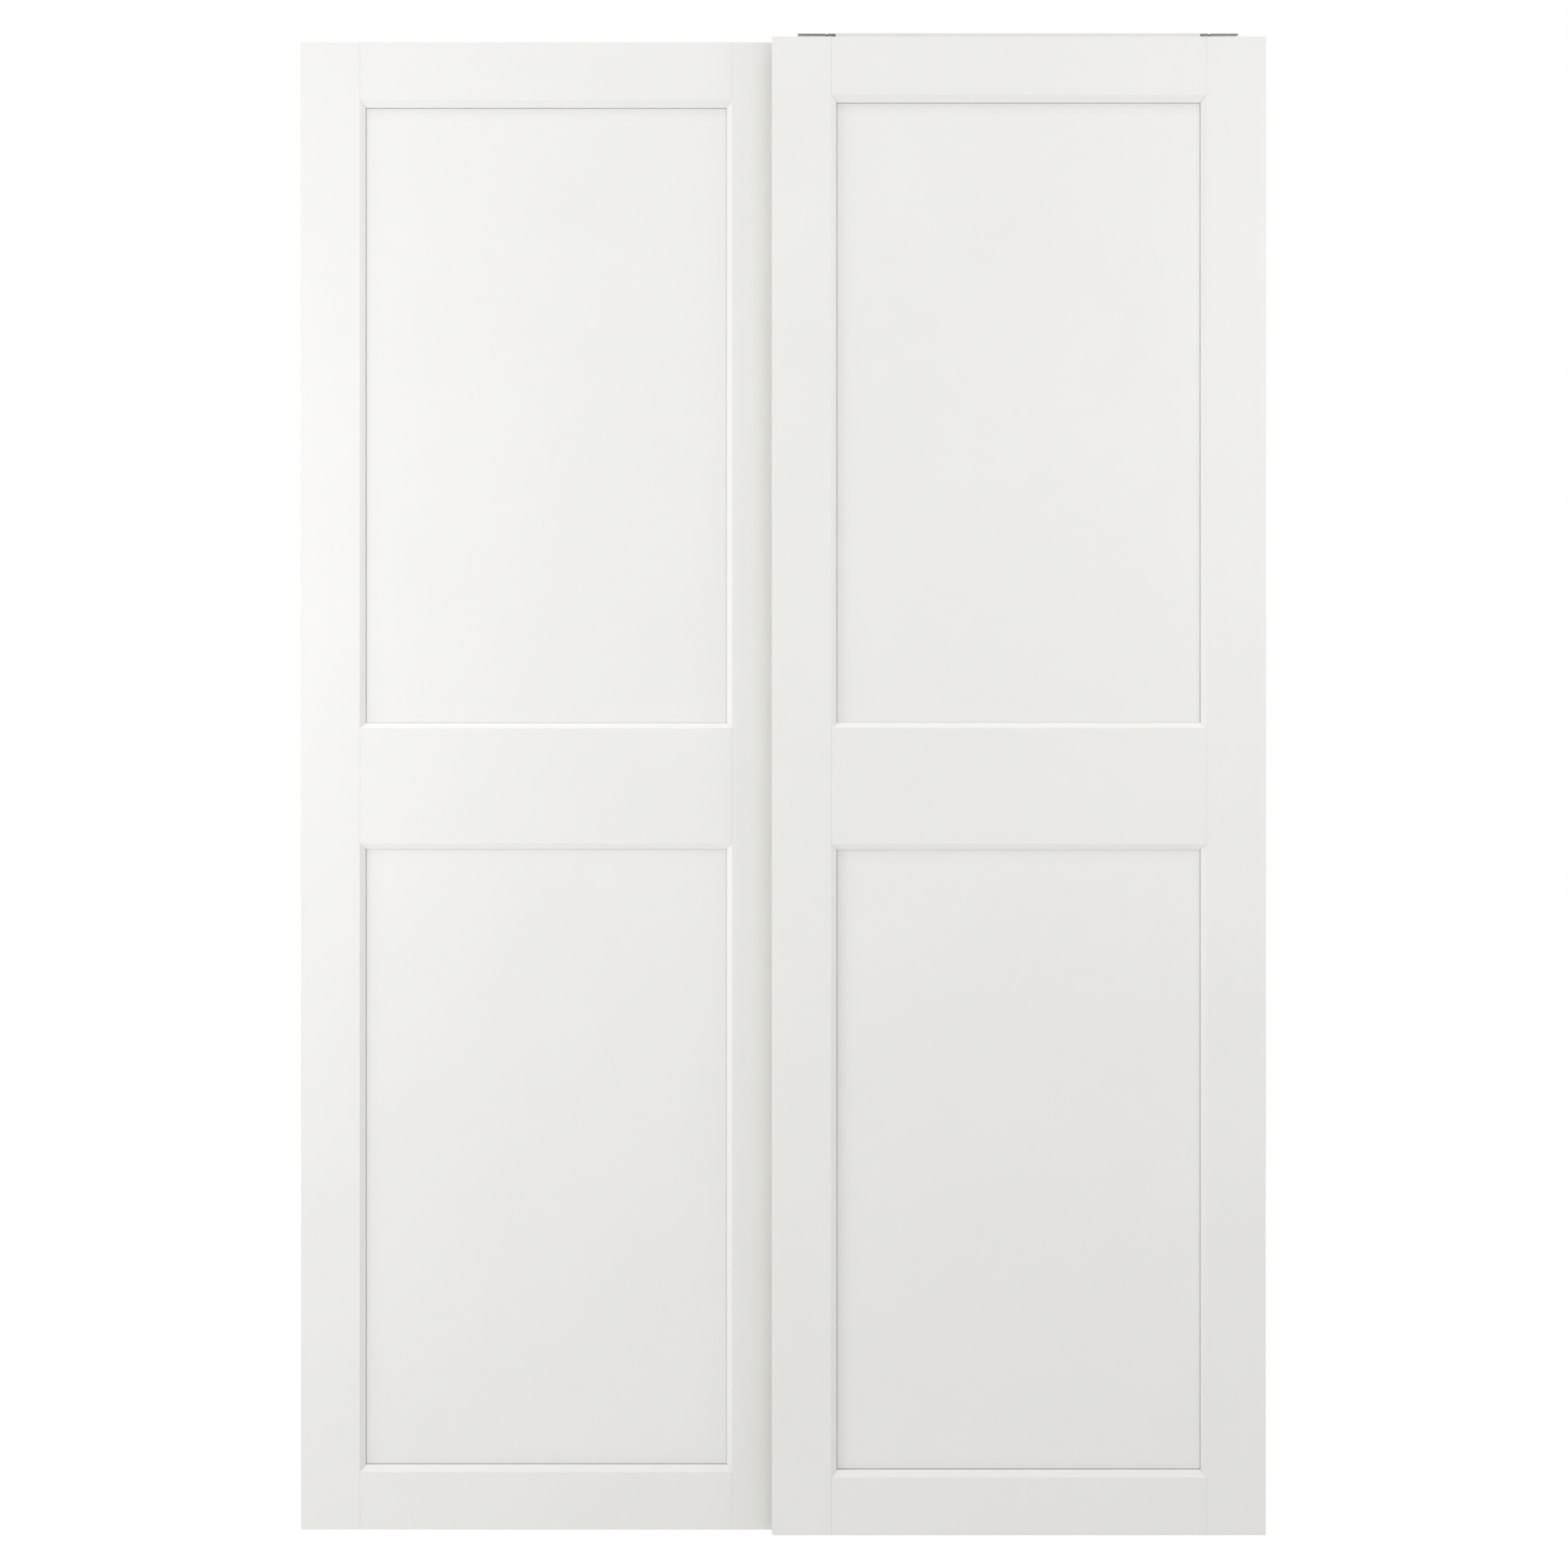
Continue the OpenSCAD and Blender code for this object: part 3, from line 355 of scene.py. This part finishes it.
# Width of a stile's bevel, and of each rail's bevels at its low and high edge, in millimetres
STILE_BEVEL = 8.6
RAIL_BEVELS = {"top": (10.8, 0.0), "middle": (8.6, 8.6), "bottom": (0.0, 10.8)}
# Tone of the painted light on a hanger arm's underside, and the normal's Z at which a face is all
# or not at all that
PAINTED_UNDERSIDE_LIGHT = (0.86, 0.86, 0.85)
DOWNWARD = (-0.9, -0.8)
MATERIALS = {
    "white_foil": white_foil("white foil", FOIL_ROUGH),
    "beech": beech_wood("beech"),
    "white_steel": powder_coat("white powder coat"),
    "dark_steel": arm_steel("dark steel"),
    "zinc_steel": sheet_steel("zinc plated steel", (0.50, 0.51, 0.53), (0.62, 0.63, 0.64), 0.30),
    "aluminium": extrusion("anodised aluminium"),
    "grey_plastic": moulded("grey plastic", (0.27, 0.28, 0.29), (0.31, 0.32, 0.33), 0.55),
    "wheel_plastic": moulded("wheel plastic", (0.76, 0.76, 0.73), (0.81, 0.81, 0.78), 0.38),
    "black_rubber": moulded("black rubber", (0.018, 0.018, 0.018), (0.030, 0.030, 0.030), 0.75),
}

# Distance in metres at which loose corners are one, and the turns in degrees up to which
# faces are one, and from which an edge or a stile's square corner is rounded
WELD_REACH = 0.00001
FLAT_ANGLE = 0.5
EDGE_ANGLE = 32
CORNER_ANGLE = 60
# Rounding of the foil at a stile's square corners, in millimetres
FOIL_CORNER = 1.3
# Width of the softened edges, in millimetres, by material
EDGES = {
    "white_foil": 0.4,
    "white_panel": 0.2,
    "beech": 0.5,
    "white_steel": 0.3,
    "dark_steel": 0.3,
    "zinc_steel": 0.2,
    "aluminium": 0.25,
    "grey_plastic": 0.35,
    "wheel_plastic": 0.25,
    "black_rubber": 0.4,
}


def round_edges(obj, name, width, angle, segments):
    """Rounds the edges that turn by more than an angle in degrees, width in millimetres."""
    edge = obj.modifiers.new(name, "BEVEL")
    edge.width = width * MM
    edge.segments = segments
    edge.limit_method = "ANGLE"
    edge.angle_limit = math.radians(angle)
    edge.miter_outer = "MITER_ARC"
    edge.use_clamp_overlap = True
    edge.harden_normals = True


def soften_edges(obj, width, corner=0):
    """Joins loose triangles into whole faces and rounds sharp edges, square corners more."""
    weld = obj.modifiers.new("join", "WELD")
    weld.merge_threshold = WELD_REACH
    faces = obj.modifiers.new("whole faces", "DECIMATE")
    faces.decimate_type = "DISSOLVE"
    faces.angle_limit = math.radians(FLAT_ANGLE)
    if corner:
        round_edges(obj, "corner", corner, CORNER_ANGLE, 3)
    round_edges(obj, "edge", width, EDGE_ANGLE, 2)


def dress_cad_nodes(replaced):
    """Gives every CAD node that still shows its finish and its softened edges."""
    for row in frame["record"]["subparts"]:
        if row["node"] in replaced:
            continue
        obj = frame["nodes"][row["node"]]
        slot = row["material_slot"]
        part = row["node"].split("_")
        obj.data.materials.clear()
        if part[1] in RAIL_BEVELS and part[-1] == "rail":
            obj.data.materials.append(rail_foil_painted_light_and_shade(row["node"], *RAIL_BEVELS[part[1]]))
        else:
            obj.data.materials.append(MATERIALS[slot])
        soften_edges(obj, EDGES[slot], FOIL_CORNER if part[-1] == "stile" else 0)


# Panels, whose fields lie closer to the frame than the loose solids do. In millimetres:

# Thickness of a panel's tongue
TONGUE = 5.2
# Width of the visible gap at the left, right, low and high side
FIELD_GAPS = {
    "front_upper": (0.7, 0.6, 0.3, 0.5),
    "front_lower": (0.7, 0.6, 1.1, 0.12),
    "rear_upper": (0.7, 0.35, 0.3, 0.5),
    "rear_lower": (0.7, 0.35, 0.95, 0.12),
}
# How far a tongue reaches behind the frame's lips
REACH = 6.0


def select_faces(obj, wanted):
    """Selects the faces whose centre and normal pass a test, and nothing else."""
    bpy.ops.mesh.select_mode(type="FACE")
    bpy.ops.mesh.select_all(action="DESELECT")
    mesh = bmesh.from_edit_mesh(obj.data)
    for face in mesh.faces:
        if wanted(face.calc_center_median(), face.normal):
            face.select_set(True)
    bmesh.update_edit_mesh(obj.data)


def apply_place(obj):
    """Moves an object's place into its mesh."""
    deselect()
    obj.select_set(True)
    bpy.context.view_layer.objects.active = obj
    bpy.ops.object.transform_apply(location=True, rotation=True, scale=True)


def add_panel(name):
    """A tongued panel: a thin board whose field stands up before its tongue."""
    node = name + "_panel"
    low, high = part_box(node)
    left, right, foot, head = FIELD_GAPS[name]
    back = high.y
    lip = back - TONGUE * MM
    centre = Vector(((low.x + high.x) / 2, (lip + back) / 2, (low.z + high.z) / 2))
    deselect()
    bpy.ops.mesh.primitive_cube_add(size=1, location=centre)
    board = bpy.context.active_object
    board.name = node + "_board"
    board.scale = (high.x - low.x, back - lip, high.z - low.z)
    apply_place(board)

    field_low = Vector((low.x + (REACH + left) * MM, 0, low.z + (REACH + foot) * MM))
    field_high = Vector((high.x - (REACH + right) * MM, 0, high.z - (REACH + head) * MM))
    middle = (field_low + field_high) / 2
    bpy.ops.object.mode_set(mode="EDIT")
    select_faces(board, lambda place, normal: normal.y < -0.9)
    bpy.ops.mesh.inset(thickness=REACH * MM)
    wide = (field_high.x - field_low.x) / (high.x - low.x - 2 * REACH * MM)
    tall = (field_high.z - field_low.z) / (high.z - low.z - 2 * REACH * MM)
    around = (centre.x, lip, centre.z)
    bpy.ops.transform.resize(value=(wide, 1, tall), center_override=around)
    bpy.ops.transform.translate(value=(middle.x - centre.x, 0, middle.z - centre.z))
    bpy.ops.mesh.extrude_region_move(TRANSFORM_OT_translate={"value": (0, low.y - lip, 0)})
    bpy.ops.object.mode_set(mode="OBJECT")
    board.data.materials.append(panel_foil_painted_shade(node, *PAINTED_SHADE_BORDERS[name]))
    soften_edges(board, EDGES["white_panel"])
    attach(board, name.split("_")[0] + "_leaf")
    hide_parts(node)
    return node


# Camera, floor and light

def add_camera():
    """The photograph's view: level, straight on to the middle height of the front leaf."""
    low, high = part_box("front_left_stile")
    data = bpy.data.cameras.new("camera")
    camera = bpy.data.objects.new("camera", data)
    bpy.context.collection.objects.link(camera)
    camera.location = (0, low.y - VIEW_DISTANCE, (low.z + high.z) / 2)
    camera.rotation_euler = (math.radians(90), 0, 0)
    data.lens = LENS
    data.sensor_width = SENSOR
    data.shift_x = (PHOTO / 2 - AXIS_PX[0]) / PHOTO
    data.shift_y = (AXIS_PX[1] - PHOTO / 2) / PHOTO
    data.clip_end = 100
    bpy.context.scene.camera = camera


def background_rays(tree):
    """One for a ray that shows the background: seen, mirrored in a gloss or through glass."""
    path = tree.nodes.new("ShaderNodeLightPath").outputs
    seen = calc(tree, "MAXIMUM", path["Is Camera Ray"], path["Is Glossy Ray"])
    return calc(tree, "MAXIMUM", seen, path["Is Transmission Ray"])


def add_world():
    """Soft light all round, and plain white where the background shows."""
    world = bpy.data.worlds.new("world")
    bpy.context.scene.world = world
    world.use_nodes = True
    tree = world.node_tree
    tree.nodes.clear()
    white = add(tree, "ShaderNodeBackground", Color=(1, 1, 1, 1), Strength=1.0)
    soft = add(tree, "ShaderNodeBackground", Color=(1.0, 0.995, 0.985, 1), Strength=WORLD_LEVEL)
    mix = tree.nodes.new("ShaderNodeMixShader")
    out = tree.nodes.new("ShaderNodeOutputWorld")
    tree.links.new(background_rays(tree), mix.inputs[0])
    tree.links.new(soft.outputs[0], mix.inputs[1])
    tree.links.new(white.outputs[0], mix.inputs[2])
    tree.links.new(mix.outputs[0], out.inputs["Surface"])


def add_floor():
    """A plain pale floor under the set, which keeps a faint shadow."""
    deselect()
    bpy.ops.mesh.primitive_plane_add(size=FLOOR_SIZE, location=(0, 0, FLOOR_Z))
    floor = bpy.context.active_object
    floor.name = "floor"
    mat, tree, shader = material("pale floor")
    shader.inputs["Base Color"].default_value = (FLOOR_TONE, FLOOR_TONE, FLOOR_TONE, 1)
    shader.inputs["Roughness"].default_value = FLOOR_ROUGH
    glow = add(tree, "ShaderNodeEmission", Color=(1, 1, 1, 1), Strength=FLOOR_GLOW)
    both = tree.nodes.new("ShaderNodeAddShader")
    mix = tree.nodes.new("ShaderNodeMixShader")
    out = next(n for n in tree.nodes if n.type == "OUTPUT_MATERIAL")
    tree.links.new(shader.outputs[0], both.inputs[0])
    tree.links.new(glow.outputs[0], both.inputs[1])
    tree.links.new(background_rays(tree), mix.inputs[0])
    tree.links.new(shader.outputs[0], mix.inputs[1])
    tree.links.new(both.outputs[0], mix.inputs[2])
    tree.links.new(mix.outputs[0], out.inputs["Surface"])
    floor.data.materials.append(mat)


def add_lamp(name, place, aim, size, power):
    """A rectangular soft lamp of size metres at place, turned to aim."""
    data = bpy.data.lights.new(name, "AREA")
    data.shape = "RECTANGLE"
    data.size, data.size_y = size
    data.energy = power
    lamp = bpy.data.objects.new(name, data)
    bpy.context.collection.objects.link(lamp)
    lamp.location = place
    lamp.rotation_euler = (Vector(aim) - Vector(place)).to_track_quat("-Z", "Y").to_euler()
    lamp.visible_camera = False


WORLD_LEVEL = 0.452
FLOOR_SIZE = 60
FLOOR_Z = -0.07
FLOOR_TONE = 0.8
FLOOR_ROUGH = 0.9
FLOOR_GLOW = 0.65
# Each lamp's name, place, aim, width and height in metres, and power in watts
LAMPS = (
    ("left window", (-3.4, -1.0, 1.6), (-0.5, 0, 1.4), (1.0, 2.0), 13.4),
    ("left middle", (-2.6, -1.6, 0.9), (-0.4, 0, 0.9), (1.0, 1.0), 13.9),
    ("left near", (-1.2, -1.4, 1.7), (-0.8, 0, 1.6), (0.8, 1.8), 2.84),
    ("left grazing", (-1.6, -0.75, 1.7), (-0.2, 0, 1.5), (0.5, 1.6), 2.86),
    ("high grazing", (-0.6, -0.5, 3.1), (0, 0, 1.6), (1.6, 0.3), 1.94),
    ("high front", (0, -2.2, 4.6), (0, 0, 1.4), (4.0, 2.0), 23.1),
    ("right near", (1.2, -2.2, 1.9), (0.5, 0, 1.6), (1.2, 1.6), 8.16),
    ("right window", (2.8, -1.6, 2.1), (0.5, 0, 1.5), (1.2, 2.0), 20.0),
    ("left back", (-2.4, 5.0, 2.4), (-0.4, 0, 1.4), (4.4, 4.4), 75),
    ("right back", (2.8, 4.6, 2.6), (0.4, 0, 1.4), (4.4, 4.4), 60),
)

add_camera()
add_world()
add_floor()
for lamp in LAMPS:
    add_lamp(*lamp)
dress_cad_nodes([add_panel(name) for name in FIELD_GAPS])

bpy.context.scene.view_settings.view_transform = "Standard"
